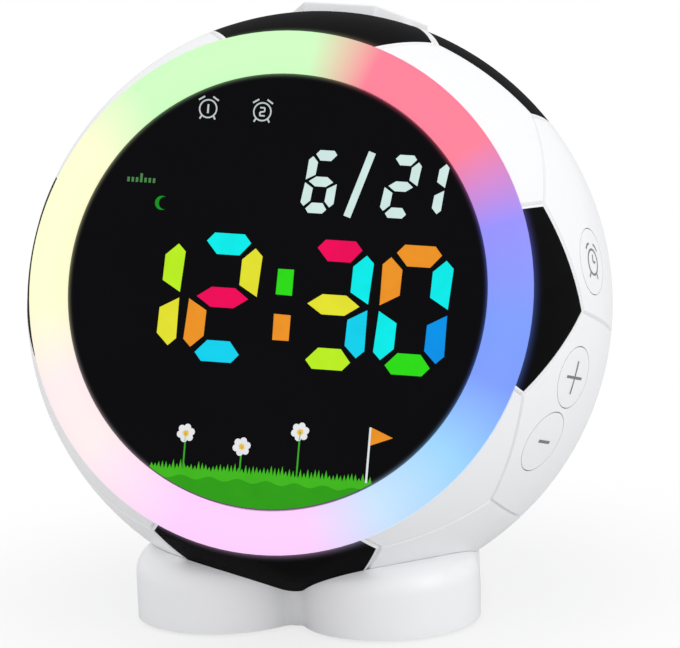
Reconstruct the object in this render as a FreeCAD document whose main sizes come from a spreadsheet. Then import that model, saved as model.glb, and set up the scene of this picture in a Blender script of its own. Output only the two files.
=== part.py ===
"""Ball-shaped bedside alarm clock with a colour light ring, on a two-lobed foot.

The ball is drawn in its own frame: centre at the origin, the clock face looking along -Y, up along +Z.
It then leans back on the foot. The foot stands on z = 0, and the part's origin is under the ball's centre.
"""
import FreeCAD
import Part
import Sketcher
import math
import os

V = FreeCAD.Vector
doc = FreeCAD.newDocument("ball_clock")
sheet = doc.addObject("Spreadsheet::Sheet", "Sizes")
sizes = {}


def size(alias, value):
    """Keep one driving dimension in the sheet, under its alias."""
    row = len(sizes) + 1
    sheet.set("A%d" % row, alias)
    sheet.set("B%d" % row, str(value))
    sheet.setAlias("B%d" % row, alias)
    sizes[alias] = value
    return value


# Ball and shell
ball_radius = size("ball_radius", 63.0)
# What belongs to the ball keeps its share of the ball's radius.
share = ball_radius / 63.0
shell_wall = size("shell_wall", 2.6)
face_tilt = size("face_tilt", 17.0)
ball_turn = size("ball_turn", 2.6)
ball_lift = size("ball_lift", 1.6)
centre_height = size("centre_height", ball_radius + ball_lift)
parting_depth = size("parting_depth", 31.5 * share)
# Panel pattern of a football
pattern_pitch = size("pattern_pitch", 5.5)
groove_depth = size("groove_depth", 0.7)
groove_half_width = size("groove_half_width", 0.45)
groove_overcut = size("groove_overcut", 0.6)
rim_width = size("rim_width", 0.4)
patch_thickness = size("patch_thickness", 1.2)
patch_gap = size("patch_gap", 0.08)
# Clock face
face_depth = size("face_depth", 30.6 * share)
flange_thickness = size("flange_thickness", 5.0)
window_radius = size("window_radius", 44.0 * share)
ring_outer = size("ring_outer", 55.3 * share)
ring_inner = size("ring_inner", 46.2 * share)
ring_edge_rise = size("ring_edge_rise", 0.6)
ring_crest_rise = size("ring_crest_rise", 2.5)
ring_inner_rise = size("ring_inner_rise", 2.9)
ring_skin = size("ring_skin", 1.3)
lens_gap = size("lens_gap", 0.2)
lens_thickness = size("lens_thickness", 2.4)
channel_inner = size("channel_inner", 48.0 * share)
channel_outer = size("channel_outer", 53.0 * share)
channel_depth = size("channel_depth", 2.2)
led_board_thickness = size("led_board_thickness", 0.8)
led_width = size("led_width", 2.8)
led_height = size("led_height", 1.0)
led_count = int(size("led_count", 24))
# Display and main board
cell_gap = size("cell_gap", 0.2)
board_thickness = size("board_thickness", 1.6)
display_board_radius = size("display_board_radius", 46.8 * share)
digit_width = size("digit_width", 12.5 * share)
digit_height = size("digit_height", 26.0 * share)
digit_pitch = size("digit_pitch", 16.5 * share)
segment_width = size("segment_width", 3.0)
segment_well = size("segment_well", 3.2)
spacer_height = size("spacer_height", 10.0)
spacer_radius = size("spacer_radius", 2.5)
main_board_width = size("main_board_width", 66.0 * share)
main_board_height = size("main_board_height", 54.0 * share)
board_hole_inset = size("board_hole_inset", 5.0)
screw_radius = size("screw_radius", 1.0)
screw_head_radius = size("screw_head_radius", 1.9)
screw_head_height = size("screw_head_height", 1.2)
screw_gap = size("screw_gap", 0.05)
chip_size = size("chip_size", 12.0)
chip_height = size("chip_height", 1.6)
# Push caps
key_radius = size("key_radius", 6.6 * share)
key_gap = size("key_gap", 0.2)
key_flange = size("key_flange", 0.5)
key_under_gap = size("key_under_gap", 0.3)
key_travel = size("key_travel", 0.6)
key_board_distance = size("key_board_distance", 45.0 * share)
key_board_margin = size("key_board_margin", 4.0)
switch_side = size("switch_side", 6.0)
switch_height = size("switch_height", 3.4)
stem_radius = size("stem_radius", 1.6)
post_radius = size("post_radius", 2.4)
stem_gap = size("stem_gap", 0.1)
overlap = size("overlap", 0.5)
overcut = size("overcut", 1.0)
screw_bite = size("screw_bite", 4.0)
snooze_corner = size("snooze_corner", 16.25 * share)
snooze_corner_round = size("snooze_corner_round", 1.2)
snooze_top_round = size("snooze_top_round", 0.6)
snooze_rise = size("snooze_rise", 0.4)
snooze_travel = size("snooze_travel", 1.0)
snooze_back = size("snooze_back", 9.0)
snooze_board_raise = size("snooze_board_raise", 3.0)
# Rear cover
cover_screw_ring = size("cover_screw_ring", 46.5 * share)
cover_boss_radius = size("cover_boss_radius", 3.4)
cover_boss_length = size("cover_boss_length", 14.0)
cover_seat_depth = size("cover_seat_depth", 4.0)
cover_screw_bite = size("cover_screw_bite", 10.0)
web_thickness = size("web_thickness", 2.0)
speaker_drop = size("speaker_drop", 14.0 * share)
speaker_radius = size("speaker_radius", 18.0 * share)
speaker_seat_wall = size("speaker_seat_wall", 2.0)
speaker_seat_depth = size("speaker_seat_depth", 49.0 * share)
speaker_depth = size("speaker_depth", 9.0)
magnet_radius = size("magnet_radius", 9.0)
magnet_height = size("magnet_height", 3.5)
basket_radius = size("basket_radius", 11.0)
speaker_rim = size("speaker_rim", 1.2)
cone_radius = size("cone_radius", 6.0)
cone_depth = size("cone_depth", 3.0)
dome_depth = size("dome_depth", 2.0)
grille_hole_radius = size("grille_hole_radius", 1.0)
grille_pitch = size("grille_pitch", 4.0)
inlet_drop = size("inlet_drop", 43.0 * share)
inlet_width = size("inlet_width", 14.0)
inlet_height = size("inlet_height", 9.0)
inlet_floor = size("inlet_floor", 40.0 * share)
inlet_wall = size("inlet_wall", 1.8)
socket_width = size("socket_width", 9.0)
socket_height = size("socket_height", 3.3)
socket_length = size("socket_length", 7.5)
socket_wall = size("socket_wall", 0.4)
tongue_thickness = size("tongue_thickness", 0.7)
socket_board_length = size("socket_board_length", 9.0)
socket_board_thickness = size("socket_board_thickness", 1.2)
cell_radius = size("cell_radius", 10.0)
cell_thickness = size("cell_thickness", 3.2)
cell_side = size("cell_side", 34.0 * share)
door_radius = size("door_radius", 12.6)
door_depth = size("door_depth", 5.4)
door_gap = size("door_gap", 0.25)
coin_slot_length = size("coin_slot_length", 11.0)
coin_slot_width = size("coin_slot_width", 1.8)
coin_slot_depth = size("coin_slot_depth", 1.5)
# Foot
lobe_radius = size("lobe_radius", 19.2 * share)
lobe_offset = size("lobe_offset", 18.3 * share)
heel_radius = size("heel_radius", 32.2 * share)
foot_height = size("foot_height", 16.5 * share)
foot_round = size("foot_round", 6.5 * share)
foot_valley_round = size("foot_valley_round", 3.0)
seat_gap = size("seat_gap", 0.05)
pad_inset = size("pad_inset", 6.2)
screw_seat = size("screw_seat", 2.0)
pad_thickness = size("pad_thickness", 1.4)
pad_proud = size("pad_proud", 0.6)
foot_screw_x = size("foot_screw_x", 20.0 * share)
foot_screw_y = size("foot_screw_y", 9.0 * share)
foot_screw_length = size("foot_screw_length", 10.0)
foot_boss_reach = size("foot_boss_reach", 10.0)
doc.recompute()

inner_radius = ball_radius - shell_wall
head = FreeCAD.Placement(V(0, 0, centre_height), FreeCAD.Rotation(V(1, 0, 0), -face_tilt))
head = head.multiply(FreeCAD.Placement(V(0, 0, 0), FreeCAD.Rotation(V(0, 1, 0), ball_turn)))
FACE = V(0, -1, 0)
REAR = V(0, 1, 0)
nodes = {}


def bind(obj, **expressions):
    """Tie an object's sizes to the sheet."""
    for name, expression in expressions.items():
        obj.setExpression(name, expression)
    return obj


def along(base, axis):
    """A placement at base, with its own Z along axis."""
    return FreeCAD.Placement(base, FreeCAD.Rotation(V(0, 0, 1), axis))


def ball(name, radius):
    return bind(doc.addObject("Part::Sphere", name), Radius=radius)


def rod(name, radius, length, base, axis):
    """A cylinder from base along axis, its radius and length given as sheet expressions."""
    obj = bind(doc.addObject("Part::Cylinder", name), Radius=radius, Height=length)
    obj.Placement = along(base, axis)
    return obj


def block(name, length, width, height, place):
    """A box centred in its length and width on the placement, rising along its Z."""
    obj = bind(doc.addObject("Part::Box", name), Length=length, Width=width, Height=height)
    doc.recompute([obj])
    shift = FreeCAD.Placement(V(-obj.Length.Value / 2, -obj.Width.Value / 2, 0), FreeCAD.Rotation())
    obj.Placement = place.multiply(shift)
    return obj


def cut(name, base, tool):
    obj = doc.addObject("Part::Cut", name)
    obj.Base = base
    obj.Tool = tool
    return obj


def fuse(name, *shapes):
    obj = doc.addObject("Part::MultiFuse", name)
    obj.Shapes = list(shapes)
    return obj


def common(name, *shapes):
    obj = doc.addObject("Part::MultiCommon", name)
    obj.Shapes = list(shapes)
    return obj


def group(name, *shapes):
    obj = doc.addObject("Part::Compound", name)
    obj.Links = list(shapes)
    return obj


def feature(name, shape):
    obj = doc.addObject("Part::Feature", name)
    obj.Shape = shape
    return obj


def node(label, obj, place=None):
    """Register a finished piece under its label and set it in its place."""
    obj.Label = label
    if place is not None:
        obj.Placement = place.multiply(obj.Placement)
    nodes[label] = obj
    return obj


def disc_body(label, length, circles, depth, place=None):
    """A PartDesign disc or ring: a sketch of circles, padded forward from a depth before the ball's centre.

    Each circle is (radius expression, x, z); the first is the outline and the others are holes.
    """
    body = doc.addObject("PartDesign::Body", label + "_body")
    sketch = body.newObject("Sketcher::SketchObject", label + "_sketch")
    plane = [f for f in body.Origin.OriginFeatures if f.Role == "XY_Plane"][0]
    sketch.AttachmentSupport = [(plane, "")]
    sketch.MapMode = "FlatFace"
    for index, (radius, x, z) in enumerate(circles):
        sketch.addGeometry(Part.Circle(V(x, z, 0), V(0, 0, 1), 1.0 + index), False)
        sketch.addConstraint(Sketcher.Constraint("Radius", index, 1.0 + index))
        sketch.setExpression("Constraints[%d]" % index, radius)
    pad = body.newObject("PartDesign::Pad", label + "_pad")
    pad.Profile = sketch
    pad.setExpression("Length", length)
    sketch.Visibility = False
    body.Placement = FreeCAD.Placement(V(0, -depth, 0), FreeCAD.Rotation(V(1, 0, 0), 90))
    return body


# Football pattern: the corners of a truncated icosahedron lie a third of the way along each edge of an icosahedron.
GOLD = (1 + math.sqrt(5)) / 2
ICO = [(0, s, t * GOLD) for s in (1, -1) for t in (1, -1)]
ICO += [(s, t * GOLD, 0) for s in (1, -1) for t in (1, -1)]
ICO += [(s * GOLD, 0, t) for s in (1, -1) for t in (1, -1)]
pitch_turn = FreeCAD.Rotation(V(1, 0, 0), -pattern_pitch)


def ball_vector(point):
    """A pattern point (right, up, front) as a unit vector of the ball's frame, with the pattern's pitch."""
    right, up, front = point
    return pitch_turn.multVec(V(right, -front, up)).normalize()


def panel_corner(near, far):
    return ball_vector([2 * a + b for a, b in zip(near, far)])


def neighbours(point):
    return [q for q in ICO if abs(math.dist(point, q) - 2) < 1e-6]


def ordered(corners):
    """Corners sorted round their common centre."""
    centre = V(0, 0, 0)
    for corner in corners:
        centre = centre + corner
    centre.normalize()
    first = (corners[0] - centre * corners[0].dot(centre)).normalize()
    second = centre.cross(first)
    return centre, sorted(corners, key=lambda c: math.atan2(c.dot(second), c.dot(first)))


def pentagon(point):
    return ordered([panel_corner(point, q) for q in neighbours(point)])


def hexagon(a, b, c):
    return ordered([panel_corner(p, q) for p in (a, b, c) for q in (a, b, c) if p != q])


def panel_frustum(panel, inset, low, high):
    """The solid over one panel between two heights, its sides parallel to the panel's edges and set in by inset."""
    centre, corners = panel
    sides = [a.cross(b).normalize() for a, b in zip(corners, corners[1:] + corners[:1])]
    sides = [side if side.dot(centre) > 0 else side * -1 for side in sides]
    wires = []
    for height in (low, high):
        points = []
        for one, two in zip(sides, sides[1:] + sides[:1]):
            points.append(plane_meet(one, inset, two, inset, centre, height))
        wires.append(Part.makePolygon(points + points[:1]))
    return Part.makeLoft(wires, True, True)


def plane_meet(a, da, b, db, c, dc):
    """The point where three planes meet, each given by its normal and its distance."""
    return (b.cross(c) * da + c.cross(a) * db + a.cross(b) * dc) * (1 / a.dot(b.cross(c)))


def groove(a, b):
    """A V-shaped cutter along the great circle from corner a to corner b."""
    axis = a.cross(b).normalize()
    spread = groove_half_width * (groove_depth + groove_overcut) / groove_depth
    bottom = a * (ball_radius - groove_depth)
    upper = a * (ball_radius + groove_overcut)
    profile = Part.Face(Part.makePolygon([bottom, upper + axis * spread, upper - axis * spread, bottom]))
    return profile.revolve(V(0, 0, 0), axis, math.degrees(a.getAngle(b)))


def panel_edges():
    """Each edge between two panels, once, as a pair of corners."""
    edges = []
    for point in ICO:
        ring = pentagon(point)[1]
        edges += list(zip(ring, ring[1:] + ring[:1]))
        edges += [(panel_corner(point, q), panel_corner(q, point)) for q in neighbours(point) if q > point]
    return edges


face_edge = face_depth / ball_radius
front_grooves = []
rear_grooves = []
for start, end in panel_edges():
    if -start.y > face_edge and -end.y > face_edge:
        continue
    cutter = groove(start, end)
    if min(start.y, end.y) * ball_radius < parting_depth:
        front_grooves.append(cutter)
    if max(start.y, end.y) * ball_radius > parting_depth:
        rear_grooves.append(cutter)
front_groove_tool = feature("front_grooves", front_grooves[0].multiFuse(front_grooves[1:]))
rear_groove_tool = feature("rear_grooves", rear_grooves[0].multiFuse(rear_grooves[1:]))

# Black panels, each an inlay in a shallow recess
TOP_ICO = (0, 1, GOLD)
LOW_ICO = (0, -1, GOLD)
front_panels = {
    "right_patch": pentagon((GOLD, 0, 1)),
    "left_patch": pentagon((-GOLD, 0, 1)),
    "upper_right_patch": pentagon((1, GOLD, 0)),
    "upper_left_patch": pentagon((-1, GOLD, 0)),
    "top_patch": hexagon(TOP_ICO, (1, GOLD, 0), (-1, GOLD, 0)),
    "bottom_patch": hexagon(LOW_ICO, (1, -GOLD, 0), (-1, -GOLD, 0)),
}
rear_panels = {"rear_patch": pentagon((0, 1, -GOLD))}
recess_inset = groove_half_width + rim_width
recess_radius = ball_radius - patch_thickness
tool_low = 0.8 * ball_radius
tool_high = 1.1 * ball_radius


def slab(low, high):
    """A square slab across the ball between two depths along +Y."""
    side = 2.2 * ball_radius
    return Part.makeBox(side, high - low, side, V(-side / 2, low, -side / 2))


def inlay_shape(panel, inset, outer, low, high):
    """One panel between the recess's floor and an outer radius, cut off at the shell's two ends."""
    solid = panel_frustum(panel, inset, tool_low, tool_high)
    solid = solid.common(Part.makeSphere(outer)).cut(Part.makeSphere(recess_radius))
    return solid.common(slab(low, high))


def recess_shapes(panels):
    return [panel_frustum(panel, recess_inset, tool_low, tool_high)
            .cut(Part.makeSphere(recess_radius)) for panel in panels.values()]


# Push caps. A cluster of caps shares one direction of travel and one flat switch board inside the wall.
def unit(azimuth, height):
    """A direction from the ball's centre: azimuth from the face towards +X, and height above the middle."""
    a, h = math.radians(azimuth), math.radians(height)
    return V(math.sin(a) * math.cos(h), -math.cos(a) * math.cos(h), math.sin(h))


RIGHT_KEYS = {"alarm_key": (83.4, 11.2), "plus_key": (79.1, -11.6), "minus_key": (76.6, -25.0)}
LEFT_KEYS = {"mode_key": (-83.4, 11.2), "light_key": (-79.1, -11.6), "sound_key": (-76.6, -25.0)}
shell_holes = []
shell_posts = []


def round_prism(radius, low, high, middle, axis):
    return Part.makeCylinder(radius, high - low, middle + axis * low, axis)


def six_sided_prism(corner, low, high, middle, axis):
    """A prism with six rounded corners, two of its sides square to the clock face's direction."""
    across = V(1, 0, 0)
    ahead = axis.cross(across)
    points = []
    for index in range(6):
        a = math.radians(60 * index)
        points.append(middle + axis * low + across * (corner * math.cos(a)) + ahead * (corner * math.sin(a)))
    prism = Part.Face(Part.makePolygon(points + points[:1])).extrude(axis * (high - low))
    upright = [e for e in prism.Edges if abs(e.tangentAt(e.FirstParameter).dot(axis)) > 0.9]
    return prism.makeFillet(snooze_corner_round, upright)


def key_cluster(side, keys, radius, rise, travel, board_distance, prism=round_prism):
    """Caps, switches, board, posts and screws of one cluster. The caps move along the cluster's axis."""
    points = {name: unit(*angles) * ball_radius for name, angles in keys.items()}
    axis = V(0, 0, 0)
    for point in points.values():
        axis = axis + point
    axis.normalize()
    board_top = axis * board_distance
    switch_top = board_distance + switch_height
    board_parts = []
    for name, point in points.items():
        offset = point - axis * point.dot(axis)
        edge = offset.Length + radius + key_flange
        under = math.sqrt((inner_radius - key_under_gap) ** 2 - edge ** 2) - key_flange
        cap = prism(radius, under, ball_radius + rise, offset, axis)
        if prism is round_prism:
            cap = cap.common(Part.makeSphere(ball_radius + rise))
        else:
            crest = [e for e in cap.Edges if abs(e.CenterOfMass.dot(axis) - ball_radius - rise) < 0.01]
            cap = cap.makeFillet(snooze_top_round, crest)
        skirt = Part.makeCylinder(radius + key_flange, ball_radius, offset + axis * under, axis)
        skirt = skirt.common(Part.makeSphere(inner_radius - key_under_gap))
        stem_end = switch_top + travel + stem_gap
        stem = Part.makeCylinder(stem_radius, under - stem_end + overlap, offset + axis * stem_end, axis)
        node(name, feature(name + "_cap", cap.fuse([skirt, stem]).removeSplitter()), head)
        shell_holes.append(prism(radius + key_gap, 0.5 * ball_radius, 1.5 * ball_radius, offset, axis))
        place = along(offset + axis * board_distance, axis)
        base = block(name + "_switch_base", "Sizes.switch_side", "Sizes.switch_side",
                     "Sizes.switch_height * 0.8", place)
        button = rod(name + "_switch_button", "Sizes.stem_radius", "Sizes.switch_height", place.Base, axis)
        board_parts.append(fuse(name + "_switch", base, button))
    node(side + "_switches", group(side + "_switch_group", *board_parts), head)
    offsets = [point - axis * point.dot(axis) for point in points.values()]
    ahead = (offsets[0] - offsets[-1]) if len(offsets) > 1 else V(0, 1, 0).cross(axis)
    ahead = (ahead - axis * ahead.dot(axis)).normalize()
    middle = (offsets[0] + offsets[-1]) * 0.5
    past_cap = radius + key_flange + post_radius + key_under_gap
    reach = (offsets[0] - offsets[-1]).Length / 2 + past_cap
    across = axis.cross(ahead)
    frame = FreeCAD.Placement(middle + axis * (board_distance - board_thickness),
                              FreeCAD.Rotation(ahead, across, axis, "XYZ"))
    half = reach + post_radius
    board = Part.makeBox(2 * half, 2 * (switch_side / 2 + key_board_margin), board_thickness,
                         V(-half, -(switch_side / 2 + key_board_margin), 0))
    board.Placement = frame
    screws = []
    for end in (1, -1):
        spot = middle + ahead * (end * reach)
        post = Part.makeCylinder(post_radius, ball_radius - board_distance, spot + axis * board_distance, axis)
        pilot = Part.makeCylinder(screw_radius + screw_gap, board_thickness + screw_bite + 2 * overcut,
                                  spot + axis * (board_distance - board_thickness - overcut), axis)
        shell_posts.append(post.common(Part.makeSphere(inner_radius + overlap)).cut(pilot))
        board = board.cut(pilot)
        screws.append(screw(spot + axis * (board_distance - board_thickness), axis, board_thickness + screw_bite))
    node(side + "_board", feature(side + "_board_shape", board), head)
    node(side + "_board_screws", feature(side + "_screw_shapes", Part.makeCompound(screws)), head)
    return axis


def screw(seat, axis, length):
    """A pan-head screw: its head lies behind the seat, and its shank runs along axis."""
    shank = Part.makeCylinder(screw_radius, length, seat, axis)
    top = seat - axis * screw_head_height
    return shank.fuse(Part.makeCylinder(screw_head_radius, screw_head_height, top, axis)).removeSplitter()


right_axis = key_cluster("right", RIGHT_KEYS, key_radius, 0.0, key_travel, key_board_distance)
left_axis = key_cluster("left", LEFT_KEYS, key_radius, 0.0, key_travel, key_board_distance)
snooze_axis = key_cluster("snooze", {"snooze_button": (180, 90 - snooze_back)}, snooze_corner,
                          snooze_rise, snooze_travel, key_board_distance + snooze_board_raise, six_sided_prism)

# Clock face: display window, light ring and what lies behind them
board_front = face_depth - flange_thickness
lens = disc_body("display_lens", "Sizes.lens_thickness", [("Sizes.ring_inner - Sizes.lens_gap", 0, 0)], face_depth)
node("display_lens", lens, head)
housing_length = "Sizes.flange_thickness - Sizes.cell_gap"
housing = disc_body("segment_housing", housing_length, [("Sizes.window_radius - Sizes.cell_gap", 0, 0)], board_front)


def segment_well_shapes():
    """The light wells of four seven-segment digits and their colon."""
    front = face_depth - cell_gap
    wells = []
    half_w = digit_width / 2
    half_h = digit_height / 2
    for slot in (-1.65, -0.65, 0.65, 1.65):
        x = slot * digit_pitch
        places = [(x, 0, True), (x, half_h, True), (x, -half_h, True)]
        places += [(x + s * half_w, t * half_h / 2, False) for s in (1, -1) for t in (1, -1)]
        for cx, cz, flat in places:
            length = (digit_width if flat else half_h) - segment_width - 0.6
            w, h = (length, segment_width) if flat else (segment_width, length)
            wells.append(Part.makeBox(w, segment_well, h, V(cx - w / 2, -front, cz - h / 2)))
    for t in (1, -1):
        side = segment_width
        wells.append(Part.makeBox(side, segment_well, side, V(-side / 2, -front, t * half_h / 2 - side / 2)))
    return Part.makeCompound(wells)


wells = feature("segment_wells", segment_well_shapes())
node("segment_housing", cut("segment_housing_cut", housing, wells), head)


def face_screw_spots():
    ring = (window_radius + display_board_radius) / 2 - stem_gap
    return [V(ring * math.cos(a), 0, ring * math.sin(a)) for a in (math.radians(45 + 90 * i) for i in range(4))]


board_depth = board_front - board_thickness
display_board = disc_body("display_board", "Sizes.board_thickness", [("Sizes.display_board_radius", 0, 0)], board_depth)
display_pilots = [Part.makeCylinder(screw_radius + screw_gap, board_thickness + screw_bite + 2 * stem_gap,
                                    spot + FACE * (board_depth - stem_gap), FACE) for spot in face_screw_spots()]
pilot_tool = feature("display_pilots", Part.makeCompound(display_pilots))
node("display_board", cut("display_board_cut", display_board, pilot_tool), head)
display_screws = [screw(spot + FACE * board_depth, FACE, board_thickness + screw_bite - overlap) for spot in face_screw_spots()]
node("display_screws", feature("display_screw_shapes", Part.makeCompound(display_screws)), head)

spacer_depth = board_depth - spacer_height
main_depth = spacer_depth - board_thickness
spacer_x = main_board_width / 2 - board_hole_inset
spacer_z = main_board_height / 2 - board_hole_inset
spacer_spots = [V(s * spacer_x, 0, t * spacer_z) for s in (1, -1) for t in (1, -1)]
spacers = []
for index, spot in enumerate(spacer_spots):
    outer = rod("spacer_%d" % index, "Sizes.spacer_radius", "Sizes.spacer_height", spot + FACE * spacer_depth, FACE)
    bore = rod("spacer_bore_%d" % index, "Sizes.screw_radius + Sizes.screw_gap", "Sizes.spacer_height",
               spot + FACE * spacer_depth, FACE)
    spacers.append(cut("spacer_cut_%d" % index, outer, bore))
node("board_spacers", group("spacer_group", *spacers), head)
main_place = FreeCAD.Placement(V(0, -main_depth, 0), FreeCAD.Rotation(V(1, 0, 0), 90))
main_blank = block("main_board_blank", "Sizes.main_board_width", "Sizes.main_board_height",
                   "Sizes.board_thickness", main_place)
main_pilots = [Part.makeCylinder(screw_radius + screw_gap, board_thickness, spot + FACE * main_depth, FACE)
               for spot in spacer_spots]
main_board = cut("main_board_cut", main_blank, feature("main_pilots", Part.makeCompound(main_pilots)))
node("main_board", main_board, head)
main_screws = [screw(spot + FACE * main_depth, FACE, board_thickness + spacer_height - overcut) for spot in spacer_spots]
node("main_board_screws", feature("main_screw_shapes", Part.makeCompound(main_screws)), head)
chip_place = FreeCAD.Placement(V(0, -main_depth + chip_height, 0), FreeCAD.Rotation(V(1, 0, 0), 90))
node("controller_chip", block("chip", "Sizes.chip_size", "Sizes.chip_size", "Sizes.chip_height", chip_place), head)

# Light ring: a translucent channel over a ring of light sources
def ring_profile():
    outer_low = V(ring_outer, -face_depth, 0)
    outer_top = V(ring_outer, -face_depth - ring_edge_rise, 0)
    crest = V((ring_outer + ring_inner) / 2, -face_depth - ring_crest_rise, 0)
    inner_top = V(ring_inner, -face_depth - ring_inner_rise, 0)
    inner_low = V(ring_inner, -face_depth, 0)
    roof = -face_depth - ring_crest_rise + ring_skin
    edges = [Part.LineSegment(outer_low, outer_top), Part.Arc(outer_top, crest, inner_top),
             Part.LineSegment(inner_top, inner_low)]
    path = [inner_low, V(channel_inner, -face_depth, 0), V(channel_inner, roof, 0),
            V(channel_outer - overlap, roof, 0), V(channel_outer, -face_depth, 0), outer_low]
    edges += [Part.LineSegment(a, b) for a, b in zip(path, path[1:])]
    return Part.Face(Part.Wire([edge.toShape() for edge in edges]))


ring_section = feature("ring_section", ring_profile())
light_ring = doc.addObject("Part::Revolution", "light_ring_turn")
light_ring.Source = ring_section
light_ring.Axis = V(0, 1, 0)
light_ring.Base = V(0, 0, 0)
light_ring.Angle = 360
light_ring.Solid = True
node("light_ring", light_ring, head)
led_seat = face_depth - channel_depth
led_board = disc_body("ring_led_board", "Sizes.led_board_thickness",
                      [("Sizes.channel_outer - Sizes.lens_gap", 0, 0), ("Sizes.channel_inner + Sizes.lens_gap", 0, 0)],
                      led_seat)
node("ring_led_board", led_board, head)
leds = []
for index in range(led_count):
    turn = FreeCAD.Rotation(V(0, 1, 0), 360.0 * index / led_count)
    spot = turn.multVec(V((channel_inner + channel_outer) / 2, -led_seat - led_board_thickness, 0))
    place = FreeCAD.Placement(spot, turn.multiply(FreeCAD.Rotation(V(1, 0, 0), 90)))
    leds.append(block("led_%d" % index, "Sizes.led_width", "Sizes.led_width", "Sizes.led_height", place))
node("ring_leds", group("led_group", *leds), head)

# Rear cover's bosses, speaker seat, socket pocket and cell bay, in the ball's frame
cover_spots = [V(cover_screw_ring * math.cos(a), 0, cover_screw_ring * math.sin(a))
               for a in (math.radians(45 + 90 * i) for i in range(4))]
cover_head_y = parting_depth + cover_seat_depth
speaker_centre = V(0, 0, -speaker_drop)
bay_axis = V(-cell_side, math.sqrt(ball_radius ** 2 - cell_side ** 2), 0).normalize()
door_floor = ball_radius - door_depth
cell_floor = door_floor - cell_thickness - 2 * stem_gap
bay_floor = cell_floor - shell_wall / 2

# Front shell: a ball cut off at the clock face and at the parting line, hollow behind the face's flange
outer_ball = ball("front_outer_ball", "Sizes.ball_radius")
front_slab = feature("front_slab", slab(-face_depth, parting_depth))
front_solid = common("front_zone", outer_ball, front_slab)
hollow = common("front_hollow", ball("front_inner_ball", "Sizes.ball_radius - Sizes.shell_wall"),
                feature("front_hollow_slab", slab(-board_front, parting_depth + overcut)))
window = rod("display_window", "Sizes.window_radius", "Sizes.face_depth", V(0, 0, 0), FACE)
channel = cut("light_channel",
              rod("channel_outer_rod", "Sizes.channel_outer", "Sizes.channel_depth + Sizes.overcut", FACE * led_seat, FACE),
              rod("channel_inner_rod", "Sizes.channel_inner", "Sizes.channel_depth + Sizes.overcut",
                  FACE * led_seat, FACE))
front_wall = cut("front_wall", front_solid, fuse("front_openings", hollow, window, channel))
bosses = []
for spot in cover_spots:
    boss_back = parting_depth - cover_boss_length
    boss = Part.makeCylinder(cover_boss_radius, cover_boss_length, spot + REAR * boss_back, REAR)
    web = Part.makeBox(ball_radius, cover_boss_length, web_thickness, V(0, boss_back, -web_thickness / 2))
    web.rotate(V(0, 0, 0), V(0, 1, 0), -math.degrees(math.atan2(spot.z, spot.x)))
    clear = Part.makeCylinder(cover_screw_ring, 2 * ball_radius, REAR * -ball_radius, REAR)
    pilot = Part.makeCylinder(screw_radius + screw_gap, cover_boss_length,
                              spot + REAR * (parting_depth - cover_screw_bite - overcut), REAR)
    bosses.append(boss.fuse(web.cut(clear)).common(Part.makeSphere(inner_radius + overlap)).cut(pilot))
to_ball = head.inverse()
down = to_ball.Rotation.multVec(V(0, 0, -1))
foot_screw_spots = [V(s * foot_screw_x, t * foot_screw_y, 0) for s in (1, -1) for t in (1, -1)]
foot_holes = []
for spot in foot_screw_spots:
    rise = centre_height - math.sqrt(ball_radius ** 2 - spot.x ** 2 - spot.y ** 2)
    low = to_ball.multVec(V(spot.x, spot.y, 0))
    boss = Part.makeCylinder(cover_boss_radius, rise + foot_boss_reach, low, down * -1)
    boss = boss.common(Part.makeSphere(inner_radius + overlap))
    pilot = Part.makeCylinder(screw_radius + screw_gap, rise + foot_boss_reach - overcut, low, down * -1)
    bosses.append(boss.cut(pilot))
    foot_holes.append(pilot)
boss_parts = feature("shell_bosses", bosses[0].multiFuse(bosses[1:] + shell_posts))
front_bossed = fuse("front_bossed", front_wall, boss_parts)
hole_tool = shell_holes[0].multiFuse(shell_holes[1:] + foot_holes + display_pilots)
front_tools = fuse("front_tools", front_groove_tool, feature("front_recesses", Part.makeCompound(
    recess_shapes(front_panels))), feature("front_holes", hole_tool))
node("front_shell", cut("front_shell_cut", front_bossed, front_tools), head)

for name, panel in front_panels.items():
    patch = inlay_shape(panel, recess_inset + patch_gap, ball_radius - patch_gap, -face_depth + stem_gap, parting_depth)
    patch = patch.cut(Part.makeCompound(shell_holes))
    node(name, feature(name + "_shape", patch), head)
for name, panel in rear_panels.items():
    patch = inlay_shape(panel, recess_inset + patch_gap, ball_radius - patch_gap, parting_depth, ball_radius)
    node(name, feature(name + "_shape", patch), head)

# Rear cover
rear_solid = common("rear_zone", ball("rear_outer_ball", "Sizes.ball_radius"),
                    feature("rear_slab", slab(parting_depth, ball_radius + overcut)))
rear_wall = cut("rear_wall", rear_solid, ball("rear_inner_ball", "Sizes.ball_radius - Sizes.shell_wall"))
inside = Part.makeSphere(inner_radius + overlap)
seat_tube = Part.makeCylinder(speaker_radius + speaker_seat_wall, ball_radius,
                              speaker_centre + REAR * speaker_seat_depth, REAR)
seat_bore = Part.makeCylinder(speaker_radius - 3 * overlap, ball_radius,
                              speaker_centre + REAR * (speaker_seat_depth - overcut), REAR)
inlet_box = Part.makeBox(inlet_width + 2 * inlet_wall, ball_radius, inlet_height + 2 * inlet_wall,
                         V(-inlet_width / 2 - inlet_wall, inlet_floor - inlet_wall,
                           -inlet_drop - inlet_height / 2 - inlet_wall))
inlet_pocket = Part.makeBox(inlet_width, ball_radius, inlet_height,
                            V(-inlet_width / 2, inlet_floor, -inlet_drop - inlet_height / 2))
socket_slot = Part.makeBox(socket_width + 2 * stem_gap, ball_radius, socket_height + 2 * stem_gap,
                           V(-socket_width / 2 - stem_gap, inlet_floor - inlet_wall - overcut,
                             -inlet_drop - socket_height / 2 - stem_gap))
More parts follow.
